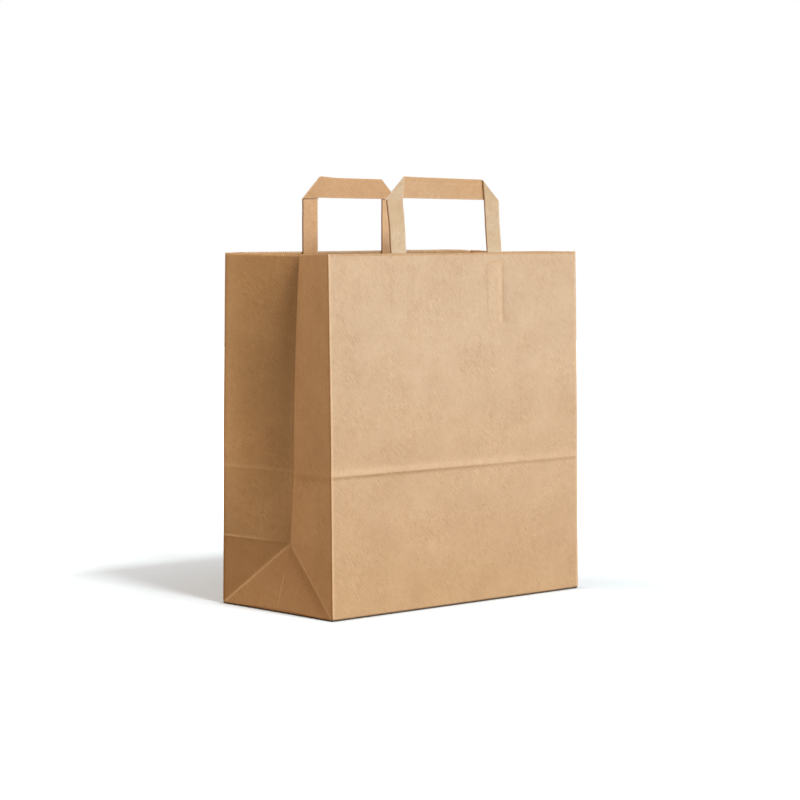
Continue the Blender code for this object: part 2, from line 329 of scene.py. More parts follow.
def legs(face):
    """Outer and inner edges of the two legs behind a wide panel."""
    centre, span = (FRONT_CENTRE, FRONT_SPAN) if face < 0 else (REAR_CENTRE, REAR_SPAN)
    half = span / 2
    return [
        (centre - half, centre - half + STRAP_WIDTH),
        (centre + half - STRAP_WIDTH, centre + half),
    ]


def handle_relief(face, x, height):
    """The legs and their patch, pressed through the panel, with the glue's groove beside them."""
    below = BAG_HEIGHT - height
    down = smooth(PATCH_DROP - 0.0018, PATCH_DROP + 0.0012, below)
    end = 1.0 - smooth(LEG_REACH - 0.004, LEG_REACH + 0.003, below)
    value = 0.0
    for number, (low, high) in enumerate(legs(face)):
        inside = smooth(low - 0.002, low + 0.001, x) * (1.0 - smooth(high - 0.001, high + 0.002, x))
        strength = 1.0 if number else 0.5
        value += strength * inside * end * (LEG_RAISE + PATCH_RAISE * down)
        for edge, outward in ((low, -1), (high, 1)):
            groove = hump(x - edge - outward * 0.0042, 0.0030)
            share = 1.0 if outward > 0 else 0.35
            value -= strength * share * GLUE_GROOVE * groove * down * end
    return value


def crease_profile(offset, above, below):
    """A soft ridge: a long slope above the crease and a short one below it."""
    if offset >= 0.0:
        return max(0.0, 1.0 - offset / above) ** 1.4
    return max(0.0, 1.0 + offset / below) ** 1.4


def upper_crease_relief(part, where, height):
    """The flat-pack crease round the bag, highest at the left of the front."""
    offset = height - UPPER_CREASE
    if abs(offset) > 0.014:
        return 0.0
    if part == "front":
        along = (where + SIDE) / BAG_WIDTH
        lift = mix(0.00062, 0.00030, smooth(0.0, 0.9, along))
        lift *= 0.85 + 0.3 * noise.noise((where * 31.0, 3.1, 0.0))
        return lift * crease_profile(offset, mix(0.0085, 0.0048, along), 0.0022)
    if part in ("left_front", "right_front"):
        return 0.00035 * crease_profile(offset, 0.0030, 0.0065)
    if part in ("left_rear", "right_rear"):
        return 0.00014 * crease_profile(offset, 0.0030, 0.0030)
    return 0.00040 * crease_profile(offset, 0.0050, 0.0025)


def lower_crease_relief(part, where, height):
    offset = height - LOWER_CREASE
    if abs(offset) > 0.006:
        return 0.0
    if part in ("left_rear", "right_rear"):
        return 0.00022 * smooth(0.05, 0.5, where) * crease_profile(offset, 0.0022, 0.0040)
    if part.startswith("back"):
        return 0.00030 * crease_profile(offset, 0.0022, 0.0040)
    return 0.0


def waves(part, where, height):
    """Slow unevenness of the paper, fading towards folds, the base and the rim."""
    if part in GUSSETS:
        window = smooth(0.0, 0.30, where) * (1.0 - smooth(0.72, 1.0, where))
        window *= smooth(fold_height(where), fold_height(where) + 0.03, height)
        seed = 7.0 * GUSSETS[part][0] + 3.0 * GUSSETS[part][1]
        along = where * HALF
    else:
        window = smooth(0.0, 0.035, SIDE - abs(where)) * smooth(0.0, 0.04, height)
        seed = 20.0 if part == "front" else 40.0
        along = where
    window *= mix(0.35, 1.0, smooth(0.0, 0.075, BAG_HEIGHT - height))
    slow = noise.noise((along * 14.0, height * 9.0, seed))
    quick = noise.noise((along * 42.0, height * 23.0, seed + 5.0))
    return window * (WAVE * slow + RIPPLE * quick)


def relief(u, height):
    """All that stands out at a point, fading at the upright folds."""
    part, where = place(u)
    value = upper_crease_relief(part, where, height) + lower_crease_relief(part, where, height)
    value += waves(part, where, height)
    if part == "front":
        value += handle_relief(-1, where, height)
    if part == "back_outer":
        value += handle_relief(1, where, height)
    if part in ("left_rear", "right_rear"):
        sag = GUSSET_SAG * mix(1.0, 0.65, smooth(0.17, 0.28, height))
        sag *= smooth(LOWER_CREASE, LOWER_CREASE + 0.055, height)
        value -= sag * 4.0 * where * (1.0 - where)
    if part not in GUSSETS:
        patch_end = PATCH_DROP + PATCH_HEIGHT
        past_patch = smooth(patch_end + 0.002, patch_end + 0.030, BAG_HEIGHT - height)
        value = max(value, mix(-DENT_OVER_PATCH, -DENT, past_patch))
    nearest = min(abs(u - fold) for fold in FOLDS)
    return value * smooth(0.0, 0.004, nearest)


def rim_notch(u):
    """Depth of the cut teeth at the rim."""
    phase = (u / TOOTH_PITCH) % 1.0
    return TOOTH_DEPTH * abs(2.0 * phase - 1.0)


# Rubs and painted light: pale where folds are rubbed and where highlights are painted, dark (below
# zero) where shade is painted


def fold_rub_and_painted_light(u):
    """Pale lines along the upright folds on the wide panels' side, partly rubbed paper and partly
    painted highlight, with painted shade on the gussets' side.
    """
    value = 0.0
    for fold in FOLDS:
        if fold in CREASES:
            continue
        out = u - fold
        towards_panel = -out if fold in (U_REAR_RIGHT, U_FRONT_LEFT) else out
        value += 1.1 * hump(towards_panel - 0.0012, 0.0011)
        # Painted shade on the gusset's side of the fold
        value -= 0.85 * hump(towards_panel + 0.0013, 0.0013)
    return value


def triangle_rub_and_painted_light(rear, where, height):
    """The triangle at the foot of a half gusset: a pale line along its slanting fold, partly rubbed
    paper and partly painted highlight, painted shade beside it and over the triangle, and a pale line
    along its middle crease.
    """
    slope = height - fold_height(where)
    value = (1.2 if rear else 0.8) * hump(slope, 0.0008) * smooth(0.0, 0.15, where + 0.02)
    # Painted shade over the triangle and beside its fold
    value -= (0.42 if slope < 0.0 or rear else 0.10) * smooth(0.0, 0.004, abs(slope))
    if not rear:
        value -= 0.35 * hump(slope + 0.006, 0.006)
    middle = 0.7 * hump(where * HALF, 0.0007) * smooth(0.004, 0.010, height)
    return value + middle * (1.0 - smooth(0.030, 0.044, height))


# Marks of a half gusset: pale lines at its creases, partly rubbed paper and partly painted highlight,
# painted light towards the outer edge of the rear half, and painted shade under the front half's
# upper crease and deep in the tuck
def gusset_rub_and_painted_light(rear, where, height):
    value = triangle_rub_and_painted_light(rear, where, height) if height < LOWER_CREASE else 0.0
    above = height - UPPER_CREASE
    if not rear:
        # Painted shade under the upper crease
        return value - 0.30 * hump(above + 0.0030, 0.0030)
    value += 0.95 * hump(height - LOWER_CREASE - 0.0003, 0.0010) * smooth(0.1, 0.8, where)
    value += 0.30 * hump(above - 0.0010, 0.0014)
    # Painted light towards the outer edge, and painted shade deep in the tuck
    value += 0.32 * smooth(0.62, 1.0, where) * smooth(0.0, 0.02, height - LOWER_CREASE)
    deep = 0.25 * (1.0 - smooth(0.0, 0.30, where))
    return value - deep * smooth(UPPER_CREASE - 0.02, UPPER_CREASE + 0.04, height)


def front_painted_light(where, height):
    """Painted light on the front: a painted highlight above the upper crease and painted shade below
    it, and painted highlights and shade along the outline of the legs, strongest at the right leg.
    """
    above = height - UPPER_CREASE
    below = BAG_HEIGHT - height
    # Painted highlight above the upper crease, painted shade below it
    value = 0.42 * hump(above - 0.0036, 0.0036) * mix(1.0, 0.45, (where + SIDE) / BAG_WIDTH)
    value -= 0.45 * hump(above + 0.0014, 0.0012)
    for number, (low, high) in enumerate(legs(-1)):
        if low - 0.001 < where < high + 0.002:
            value += 0.26 * hump(below - PATCH_DROP + 0.0004, 0.0018)
            end = 0.40 * hump(below - LEG_REACH + 0.002, 0.0022)
            value += end * hump(where - high + 0.003, 0.004) * number
        reach = smooth(PATCH_DROP - 0.003, PATCH_DROP + 0.003, below)
        reach *= 1.0 - smooth(LEG_REACH, LEG_REACH + 0.006, below)
        pressed = reach * (1.0 if number else 0.25)
        # Painted highlight and painted shade along the legs' outline
        value += 0.34 * pressed * hump(where - high + 0.0035, 0.0032)
        value -= 0.36 * pressed * hump(where - high - 0.0048, 0.0034)
        value -= 0.22 * pressed * hump(where - low + 0.0030, 0.0030)
    return value


# Pale lines at the creases of the back, partly rubbed paper and partly painted highlight, a pale line
# along the rim, and painted shade at the foot
def rub_and_painted_light_at(u, height):
    part, where = place(u)
    value = fold_rub_and_painted_light(u)
    if part in GUSSETS:
        value += gusset_rub_and_painted_light(part.endswith("rear"), where, height)
    elif part == "front":
        value += front_painted_light(where, height)
    else:
        value += 0.5 * hump(height - LOWER_CREASE - 0.0004, 0.0010)
        value += 0.25 * hump(height - UPPER_CREASE - 0.0020, 0.0020)
    value += 0.45 * hump(BAG_HEIGHT - height, 0.0010)
    # Painted shade along the foot, where the bag meets the floor
    value -= 0.9 * hump(height, 0.0009)
    return value


def painted_tone_at(u, height):
    """Painted light and shade: darker towards the rim of the panels, lighter low on the gussets and
    at mid height on the outer part of their rear halves, and darker deep in a tuck and where the
    paper turns under.
    """
    part, where = place(u)
    # Painted shade where the foot turns under
    foot_painted_shade = mix(0.15, 1.0, smooth(0.0002, 0.0024, height))
    if part not in GUSSETS:
        return foot_painted_shade * mix(1.05, 0.93, smooth(-0.02, 0.26, height))
    if part.endswith("front"):
        return foot_painted_shade * mix(1.07, 1.0, smooth(0.10, 0.15, height))
    # Painted light on the rear half of a gusset, and painted shade deep in its tuck
    painted_light_patch = smooth(0.25, 0.60, where) * hump(height - 0.155, 0.045)
    painted_light_patch += 0.35 * (1.0 - smooth(LOWER_CREASE - 0.004, LOWER_CREASE, height))
    deep = 0.10 * (1.0 - smooth(0.0, 0.35, where))
    deep *= smooth(UPPER_CREASE - 0.02, UPPER_CREASE + 0.04, height)
    return foot_painted_shade * (1.0 + 0.20 * painted_light_patch - deep)


# Mesh of the sheet


class Sheet:
    """Points with their flat places and looks (rubs with painted light and shade, gloss with its
    painted tint, and painted tone), and the faces between them.
    """

    def __init__(self):
        self.points = []
        self.flat = []
        self.lift = []
        self.looks = []
        self.faces = []

    def add(self, point, u, height, lift=0.0, rub_and_painted_light=0.0, gloss_and_painted_tint=0.0, tone=1.0):
        self.points.append(point)
        self.flat.append((u, height, 0.0))
        self.lift.append(lift)
        self.looks.append((rub_and_painted_light, gloss_and_painted_tint, tone))
        return len(self.points) - 1

    def face(self, corners):
        ring = [c for i, c in enumerate(corners) if c != corners[i - 1]]
        if len(ring) >= 3:
            self.faces.append(ring)


# Heights of the rows of points; those below the lower crease are shares of the way up from the fold
ROWS_BELOW = graded(0.0, 1.0, 0.013, 0.066)
ROWS_BETWEEN = graded(LOWER_CREASE, UPPER_CREASE, *CREASE_STEPS)
ROWS_ABOVE = graded_run(
    [
        UPPER_CREASE,
        BAG_HEIGHT - PATCH_DROP - PATCH_HEIGHT,
        BAG_HEIGHT - LEG_REACH,
        BAG_HEIGHT - PATCH_DROP,
        BAG_HEIGHT - TOOTH_BAND,
    ],
    *PANEL_STEPS,
)


def base_corner_shift(point):
    """The lower corners of the bag are slightly crushed and rounded."""
    distance = Vector((SIDE - abs(point.x), HALF - abs(point.y), point.z)).length
    share = max(0.0, 1.0 - distance / CORNER_REACH) ** 2
    across, deep, up = CORNER_CRUSH
    inward = Vector((-copysign(across, point.x), -copysign(deep, point.y), up))
    return point + inward * share


def add_sheet_point(sheet, u, height):
    """Add a point of the walls with its relief and looks; the foot turns in under the bag."""
    part, _ = place(u)
    point = base_corner_shift(sheet_point(u, height))
    if height == 0.0:
        if part in GUSSETS:
            point.x -= copysign(BASE_INSET, point.x)
        else:
            point.y -= copysign(BASE_INSET, point.y)
        point.z += BASE_LIFT
    # Gloss and its painted tint: none on the gussets, which take the warm painted tint of the shaded
    # sides, and more towards the top of the wide panels
    gloss_and_painted_tint = 0.0 if part in GUSSETS else mix(1.0, 1.10, smooth(0.15, 0.30, height))
    looks = (rub_and_painted_light_at(u, height), gloss_and_painted_tint, painted_tone_at(u, height))
    return sheet.add(point, u, height, relief(u, height), *looks)


def sheet_column(sheet, u):
    """One upright line of points: the base triangle's rows, then those above its fold."""
    part, where = place(u)
    foldline = 0.0
    if part in GUSSETS and (u in CREASES or u not in FOLDS):
        foldline = fold_height(where)
    column = [add_sheet_point(sheet, u, 0.0)]
    for row in range(1, TRIANGLE_ROWS + 1):
        if foldline > SAME_PLACE:
            share = (1.0 - cos(pi * row / TRIANGLE_ROWS)) / 2
            column.append(add_sheet_point(sheet, u, foldline * mix(row / TRIANGLE_ROWS, share, 0.7)))
        else:
            column.append(column[0])
    for share in ROWS_BELOW[1:]:
        if LOWER_CREASE - foldline > SAME_PLACE:
            column.append(add_sheet_point(sheet, u, mix(foldline, LOWER_CREASE, share)))
        else:
            column.append(column[TRIANGLE_ROWS])
    for height in ROWS_BETWEEN[1:] + ROWS_ABOVE[1:]:
        column.append(add_sheet_point(sheet, u, height))
    column.append(add_sheet_point(sheet, u, BAG_HEIGHT - rim_notch(u)))
    return column


def rim_teeth(sheet, first, last):
    """Points of the cut teeth between two columns."""
    half_pitch = TOOTH_PITCH / 2
    found = []
    step = floor(first / half_pitch) + 1
    while step * half_pitch < last - SAME_PLACE:
        u = step * half_pitch
        if u > first + SAME_PLACE:
            found.append(add_sheet_point(sheet, u, BAG_HEIGHT - rim_notch(u)))
        step += 1
    return found


def panel_columns(face):
    """Lines across a wide panel that follow the legs and the ends of the patch behind it."""
    centre, span = (FRONT_CENTRE, FRONT_SPAN) if face < 0 else (REAR_CENTRE, REAR_SPAN)
    marks = [-SIDE + FOLD, centre - span / 2 - PATCH_MARGIN]
    for low, high in legs(face):
        marks += [low, high]
    marks += [centre + span / 2 + PATCH_MARGIN]
    return marks


def sheet_places():
    """Where the upright lines of points stand along the sheet."""
    rounded = [-FOLD, -FOLD / 2, 0.0, FOLD / 2]
    half_gusset = rounded + graded(FOLD, HALF - FOLD, *GUSSET_STEPS)[:-1]
    front = graded_run(panel_columns(-1) + [SIDE - FOLD], *PANEL_STEPS)
    lap = [SIDE - SEAM_INSET - SEAM_LAP, SIDE - SEAM_INSET]
    back = graded_run(panel_columns(1) + lap, *PANEL_STEPS)
    places = graded(U_START, U_REAR_RIGHT - FOLD, *LAP_STEPS)[:-1]
    places += [fold + step for fold in (U_REAR_RIGHT, U_RIGHT_CREASE) for step in half_gusset]
    places += [U_FRONT_RIGHT + step for step in rounded]
    places += [U_FRONT_RIGHT + SIDE - x for x in front[:0:-1]]
    places += [fold + step for fold in (U_FRONT_LEFT, U_LEFT_CREASE) for step in half_gusset]
    places += [U_REAR_LEFT + step for step in rounded]
    places += [U_REAR_LEFT + SIDE + x for x in back]
    return places


def wall_faces(sheet, places, columns):
    for index in range(len(places) - 1):
        here, there = columns[index], columns[index + 1]
        for row in range(len(here) - 2):
            sheet.face([here[row], here[row + 1], there[row + 1], there[row]])
        teeth = rim_teeth(sheet, places[index], places[index + 1])
        sheet.face([here[-2], here[-1], *teeth, there[-1], there[-2]])


# The block bottom: the flaps that go on from the foot of each wall, in under the bag


def flap_grid(sheet, columns, places, position):
    """A flap from the foot of some columns; position gives its point at a column, some way in."""
    rows = graded(0.0, FLAP_REACH, *FLAP_STEPS)
    rows = sorted(set(rows + [FLAP_MEETS, FLAP_MEETS - FLAP_STEP]))
    previous = [column[0] for column in columns]
    for distance in rows[1:]:
        current = [sheet.add(position(u, distance), u, -distance) for u in places]
        for index in range(len(places) - 1):
            sheet.face([previous[index], previous[index + 1], current[index + 1], current[index]])
        previous = current


def wide_flap_point(face, raised):
    """Under a wide panel: a flap that narrows at 45 degrees, its free edge just beyond the middle."""

    def position(u, distance):
        part, where = place(u)
        if part in GUSSETS:
            where = copysign(SIDE, sheet_point(u, 0.0).x)
        x = where * (SIDE - distance) / SIDE
        lift = PLY * smooth(FLAP_MEETS - FLAP_STEP, FLAP_MEETS, distance) if raised else 0.0
        return Vector((x, face * (HALF - distance), lift))

    return position


def end_flap_point(side):
    """Under a gusset: one ply up where it is seen between the wide flaps, and higher upon them."""

    def position(u, distance):
        part, where = place(u)
        across = copysign(1.0, sheet_point(u, 0.0).y)
        if part in GUSSETS:
            across = where * GUSSETS[part][1]
        y = across * (HALF - 0.0008 * smooth(0.0, 0.002, distance))
        covered = smooth(-0.0006, 0.0012, distance - (HALF - abs(y)))
        lift = PLY + 2 * PLY * covered
        return Vector((side * (SIDE - distance), y, lift * smooth(0.0, 0.0015, distance)))

    return position


def corner_triangle(sheet, side, face):
    """The corner of a wide flap, doubled back under the end flap."""
    near, far = 0.0015, FLAP_MEETS - 0.0020
    inner = SIDE - FLAP_REACH + 0.0005
    outline = [(SIDE - near - 0.0015, near), (inner, near), (inner, far), (SIDE - far - 0.0015, far)]
    points = []
    for x, distance in outline:
        point = Vector((side * x, face * (HALF - distance), PLY))
        points.append(sheet.add(point, x, -distance))
    sheet.faces.append(points if side * face < 0 else points[::-1])


def bag_sheet(material):
    """The whole bag from its one sheet: walls, lap seam and bottom flaps."""
    sheet = Sheet()
    places = sheet_places()
    columns = [sheet_column(sheet, u) for u in places]
    wall_faces(sheet, places, columns)

    def span(low, high):
        chosen = [i for i, u in enumerate(places) if low - SAME_PLACE <= u <= high + SAME_PLACE]
        return [columns[i] for i in chosen], [places[i] for i in chosen]

    flap_grid(sheet, *span(U_FRONT_RIGHT, U_FRONT_LEFT), wide_flap_point(-1, True))
    outer_columns, outer_places = span(U_REAR_LEFT, U_END)
    inner_columns, inner_places = span(U_REAR_RIGHT - SEAM_INSET + 0.0005, U_REAR_RIGHT)
    back = (outer_columns + inner_columns, outer_places + inner_places)
    flap_grid(sheet, *back, wide_flap_point(1, False))
    flap_grid(sheet, *span(U_REAR_RIGHT, U_FRONT_RIGHT), end_flap_point(1))
    flap_grid(sheet, *span(U_FRONT_LEFT, U_REAR_LEFT), end_flap_point(-1))
    for side in (-1, 1):
        for face in (-1, 1):
            corner_triangle(sheet, side, face)
    item = paper_object("bag_sheet", sheet, material)
    lift_points(item, sheet.lift)
    thicken(item, PAPER, -1.0)
    return item


def scene_object(name, data):
    item = bpy.data.objects.new(name, data)
    bpy.context.scene.collection.objects.link(item)
    return item


def paper_object(name, sheet, material):
    mesh = bpy.data.meshes.new(name)
    mesh.from_pydata([tuple(p) for p in sheet.points], [], sheet.faces)
    flat = mesh.attributes.new("flat", "FLOAT_VECTOR", "POINT")
    flat.data.foreach_set("vector", np.array(sheet.flat, np.float32).ravel())
    for look, values in zip(("rub_and_painted_light", "gloss_and_painted_tint", "tone"), zip(*sheet.looks)):
        attribute = mesh.attributes.new(look, "FLOAT", "POINT")
        attribute.data.foreach_set("value", np.array(values, np.float32))
    mesh.polygons.foreach_set("use_smooth", [True] * len(mesh.polygons))
    mesh.materials.append(material)
    mesh.update()
    return scene_object(name, mesh)


def lift_points(item, lifts):
    """Move each point out along the sheet's own normal."""
    mesh = item.data
    count = len(mesh.vertices)
    normals = np.zeros(count * 3, np.float32)
    mesh.vertex_normals.foreach_get("vector", normals)
    places = np.zeros(count * 3, np.float32)
    mesh.vertices.foreach_get("co", places)
    moved = places.reshape(-1, 3) + normals.reshape(-1, 3) * np.array(lifts, np.float32)[:, None]
    mesh.vertices.foreach_set("co", moved.ravel())
    mesh.update()


def thicken(item, thickness, offset):
    """Give a sheet its thickness: inward at offset -1, and to both sides at 0."""
    modifier = item.modifiers.new("paper", "SOLIDIFY")
    modifier.thickness = thickness
    modifier.offset = offset
    modifier.use_even_offset = False
    modifier.use_rim = True


# Handles, in a frame of their own: x along the panel from the middle of the handle, y into the bag
# from the panel's inner face, z up from the rim


def panel_offset(level):
    """How much further out than at the rim a wide panel is."""
    return half_depth(BAG_HEIGHT) - panel_depth(BAG_HEIGHT + level)


def fold_radius():
    return (STRAP_THICKNESS + GLUE_GAP) / 2


def strap_point(across, level, span, grip):
    """Place of a point of the left half of the strap, folded at 45 degrees behind its own leg."""
    radius = fold_radius()
    turn = pi * radius
    centre = -(span - STRAP_WIDTH) / 2
    corner = grip - STRAP_WIDTH / 2 - turn / sqrt(2)
    along = (level - corner + across) / sqrt(2)
    beyond = (level - corner - across) / sqrt(2)
    out, back = beyond, 0.0
    if 0.0 < beyond < turn:
        out = radius * sin(beyond / radius)
        back = radius * (1.0 - cos(beyond / radius))
    elif beyond >= turn:
        out = turn - beyond
        back = 2.0 * radius
    x = centre + (along - out) / sqrt(2)
    return Vector((x, back, corner + (along + out) / sqrt(2)))


def leaned(point, grip, lean, slope):
    """Stand the strap off the panel, tip its grip into the bag, and let the grip slope a little."""
    stand_off = GLUE_GAP + STRAP_THICKNESS / 2
    if point.z <= 0.0:
        return Vector((point.x, point.y + stand_off + panel_offset(point.z), point.z))
    up = point.z * (1.0 - tan(slope) * point.x / grip)
    y = point.y * cos(lean) + up * sin(lean)
    z = up * cos(lean) - point.y * sin(lean)
    return Vector((point.x, y + stand_off, z))


def strap_rows(span, grip):
    """Rows of the left half of the strap, each as the levels of its outer and inner edge."""
    half = STRAP_WIDTH / 2
    turn = pi * fold_radius()
    corner = grip - half - turn / sqrt(2)
    rows = []
    count = round(LEG_REACH / STRAP_STEP)
    for step in range(count + 1):
        level = mix(-LEG_REACH, 0.0, step / count)
        rows.append((level, level))
    count = round(corner / STRAP_STEP)
    for step in range(1, count):
        share = step / count
        rows.append((mix(0.0, corner - half, share), mix(0.0, corner + half, share)))
    for step in range(FOLD_ROWS + 1):
        lift = sqrt(2) * turn * step / FOLD_ROWS
        rows.append((corner - half + lift, corner + half + lift))
    last = rows[-1]
    middle = corner + (span - STRAP_WIDTH) / 2 + turn / sqrt(2)
    count = round((middle - corner) / STRAP_STEP)
    for step in range(1, count + 1):
        share = step / count
        rows.append((mix(last[0], middle, share), mix(last[1], middle, share)))
    return rows


def strap_section():
    """Outline of the folded strap: (across, out), with out 1 on the face that the legs turn outward.

    The left edge is two folds with a groove between them, the right edge is one round fold, and the
    strap's own free edge runs along the back face."""
    half = STRAP_WIDTH / 2
    t = STRAP_THICKNESS / 2
    lanes = [mix(-half + t, half - t, lane / STRAP_LANES) for lane in range(STRAP_LANES + 1)]
    section = [(a, t) for a in lanes]
    for angle in (60, 20, -20, -60):
        turn = radians(angle)
        section.append((half - t + t * cos(turn), t * sin(turn)))
    step = half * 0.42
    for a in lanes[::-1]:
        if a > step:
            section.append((a, -t))
    section += [(step, -t), (step - 0.0002, -t * 0.86)]
    for a in lanes[::-1]:
        if a < step - 0.0004:
            section.append((a, -t * mix(0.86, 1.0, smooth(0.0, half, step - a))))
    r = t / 2
    for centre, angles in ((-r, (-110, -150, 180, 150)), (r, (-150, 180, 150, 110))):
        for angle in angles:
            turn = radians(angle)
            section.append((-half + r + r * cos(turn), centre + r * sin(turn)))
    return section


def strap_sway(x, level, seed):
    """Slight bending of the strap above the rim, out of its own plane."""
    up = smooth(0.0, 0.03, level)
    slow = noise.noise((x * 22.0, level * 30.0, seed))
    quick = noise.noise((x * 60.0, level * 75.0, seed + 3.0))
    return up * 0.0007 * slow + up * 0.0003 * quick


def corner_skew(x, z, grip, upper, lower):
    """The left fold is pressed askew: how far a point near its upper and lower ends is moved."""
    shift = Vector()
    for end, offset in (((STRAP_WIDTH, grip), upper), ((0.0, grip - STRAP_WIDTH), lower)):
        distance = hypot(x - end[0], z - end[1])
        shift += (1.0 - smooth(0.0, SKEW_REACH, distance)) * Vector((offset[0], 0.0, offset[1]))
    return shift


def strap_rings(span, grip):
    """Sections of both halves of the strap: each point, its place across, its level and its side."""
    rings = []
    for outer, inner in strap_rows(span, grip):
        ring = []
        for across, out in strap_section():
            level = mix(outer, inner, (across + STRAP_WIDTH / 2) / STRAP_WIDTH)
            here = strap_point(across, level, span, grip)
            aside = strap_point(across + NUDGE, level, span, grip) - here
            ahead = strap_point(across, level + NUDGE, span, grip) - here
            normal = aside.cross(ahead).normalized()
            ring.append((here + normal * out, across, level, out))
        rings.append(ring)
    mirrored = []
    for ring in rings[-2::-1]:
        mirrored.append([(Vector((-p.x, p.y, p.z)), a, -lev, out) for p, a, lev, out in ring])
    return rings, mirrored


def strap_looks(face, out, edge, in_leg, painted_shade_side):
    """Rubs and painted light, gloss and its painted tint, and painted tone of a point of a strap,
    where edge is its distance in from an edge.
    """
    # Pale lines along the edges, partly cut edge and partly painted highlight, and painted shade on
    # the left-facing edge of a leg
    rub_and_painted_light = 0.45 * hump(edge, 0.0008)
    if in_leg:
        rub_and_painted_light = -1.0 if painted_shade_side and edge < 0.0010 else 0.90 * hump(edge - 0.0003, 0.0008)
    # Painted shade, with the warm painted tint, on that edge
    if painted_shade_side and in_leg and edge < 0.0006:
        return rub_and_painted_light, 0.2, 0.55
    # Gloss, painted tint and painted tone of each part of the strap; the tones stand in for how the
    # light falls on it
    if face < 0:
        return (rub_and_painted_light, 1.55, 1.02) if out > 0 else (rub_and_painted_light, 0.78, 0.90)
    return (rub_and_painted_light, 0.85, 1.16) if in_leg else (rub_and_painted_light, 0.65, 0.98)


def strap(name, span, grip, lean, slope, centre, face, seed, skew, material):
    """A handle: the strap behind the panel that faces -Y or +Y, folded, leaned and put in place."""
    sheet = Sheet()
    half = STRAP_WIDTH / 2
    inside = half_depth(BAG_HEIGHT) - PAPER
    rings, mirrored = strap_rings(span, grip)
    columns = []
    for number, ring in enumerate(rings + mirrored):
        first_half = number < len(rings)
        column = []
        for point, across, level, out in ring:
            run = level if first_half else -level
            in_leg = run - across < grip - half - 0.0012
            # The strap's left-facing edge, where shade is painted
            painted_shade_side = (across < 0) == (first_half == (face < 0))
            looks = strap_looks(face, out, half - abs(across), in_leg, painted_shade_side)
            placed = leaned(point, grip, lean, slope)
            placed.y += strap_sway(point.x, point.z, seed)
            world = Vector((centre + placed.x, -inside + placed.y, placed.z))
            if face > 0:
                world = Vector((centre - placed.x, inside - placed.y, placed.z))
            world += corner_skew(world.x - centre + span / 2, placed.z, grip, *skew)
            world.z += BAG_HEIGHT
            column.append(sheet.add(world, across + seed, level + 0.31 * (out < 0), 0.0, *looks))
        columns.append(column)
    for here, there in zip(columns, columns[1:]):
        for index in range(len(here)):
            after = (index + 1) % len(here)
            sheet.face([here[index], there[index], there[after], here[after]])
    sheet.faces.append(columns[0][:])
    sheet.faces.append(columns[-1][::-1])
    item = paper_object(name, sheet, material)
    recalculate(item)
    return item


def recalculate(item):
    """Turn the faces of a closed piece outward."""
    bm = bmesh.new()
    bm.from_mesh(item.data)
    bmesh.ops.recalc_face_normals(bm, faces=bm.faces)
    bm.to_mesh(item.data)
    bm.free()


# Patches over the legs


def patch_profile(span):
    """Middle of the patch across the panel: (x, in from the panel), stepping over both legs."""
    low = GLUE_GAP + PAPER / 2
    high = low + STRAP_THICKNESS + GLUE_GAP
    end = span / 2 + PATCH_MARGIN
    outer = span / 2
    inner = span / 2 - STRAP_WIDTH
    left = [
        (-end, low),
        (-outer - PATCH_RAMP, low),
        (-outer - GLUE_GAP, high),
        (-inner + GLUE_GAP, high),
        (-inner + PATCH_RAMP, low),
    ]
    return left + [(-x, y) for x, y in left[::-1]]


def patch(name, span, centre, face, seed, material):
    sheet = Sheet()
    profile = patch_profile(span)
    ends = [x for x, _ in profile]
    heights = [y for _, y in profile]
    lanes = graded_run(ends, *PATCH_STEPS)
    levels = graded(-PATCH_DROP - PATCH_HEIGHT, -PATCH_DROP, *PATCH_RISES)
    rows = []
    for level in levels:
        row = []
        for x in lanes:
            y = float(np.interp(x, ends, heights)) + panel_offset(level)
            y += 0.00012 * (1.0 + noise.noise((x * 45.0, level * 45.0, seed)))
            depth = half_depth(BAG_HEIGHT) - PAPER - y
            point = Vector((centre + x, -depth, BAG_HEIGHT + level))
            if face > 0:
                point = Vector((centre - x, depth, BAG_HEIGHT + level))
            border = min(x - lanes[0], lanes[-1] - x, level - levels[0], levels[-1] - level)
            row.append(sheet.add(point, x + seed, level, 0.0, 0.4 * hump(border, 0.0008)))
        rows.append(row)
    for lower, upper in zip(rows, rows[1:]):
        for index in range(len(lanes) - 1):
            sheet.face([lower[index], lower[index + 1], upper[index + 1], upper[index]])
    item = paper_object(name, sheet, material)
    thicken(item, PAPER, 0.0)
    return item


# Kraft paper


def new_material(name):
    material = bpy.data.materials.new(name)
    material.use_nodes = True
    tree = material.node_tree
    return material, tree, tree.nodes["Principled BSDF"]


def node(tree, kind, **inputs):
    made = tree.nodes.new(kind)
    for name, value in inputs.items():
        made.inputs[name.replace("_", " ")].default_value = value
    return made


def fibres(tree, flat, angle, length, width, seed):
    """A noise drawn out along one direction of the sheet."""
    mapping = node(tree, "ShaderNodeMapping", Location=(seed * 3.7, seed * 1.9, seed))
    mapping.inputs["Rotation"].default_value = (0.0, 0.0, radians(angle))
    stretch = node(tree, "ShaderNodeVectorMath")
    stretch.operation = "MULTIPLY"
    stretch.inputs[1].default_value = (1.0 / width, 1.0 / length, 1.0)
    tree.links.new(flat, mapping.inputs["Vector"])
    tree.links.new(mapping.outputs["Vector"], stretch.inputs[0])
    texture = node(tree, "ShaderNodeTexNoise", Scale=1.0, Detail=2.0, Roughness=0.6)
    tree.links.new(stretch.outputs["Vector"], texture.inputs["Vector"])
    return texture.outputs["Fac"]


def attribute(tree, name):
    """Reads a value that the mesh carries."""
    made = node(tree, "ShaderNodeAttribute")
    made.attribute_name = name
    return made


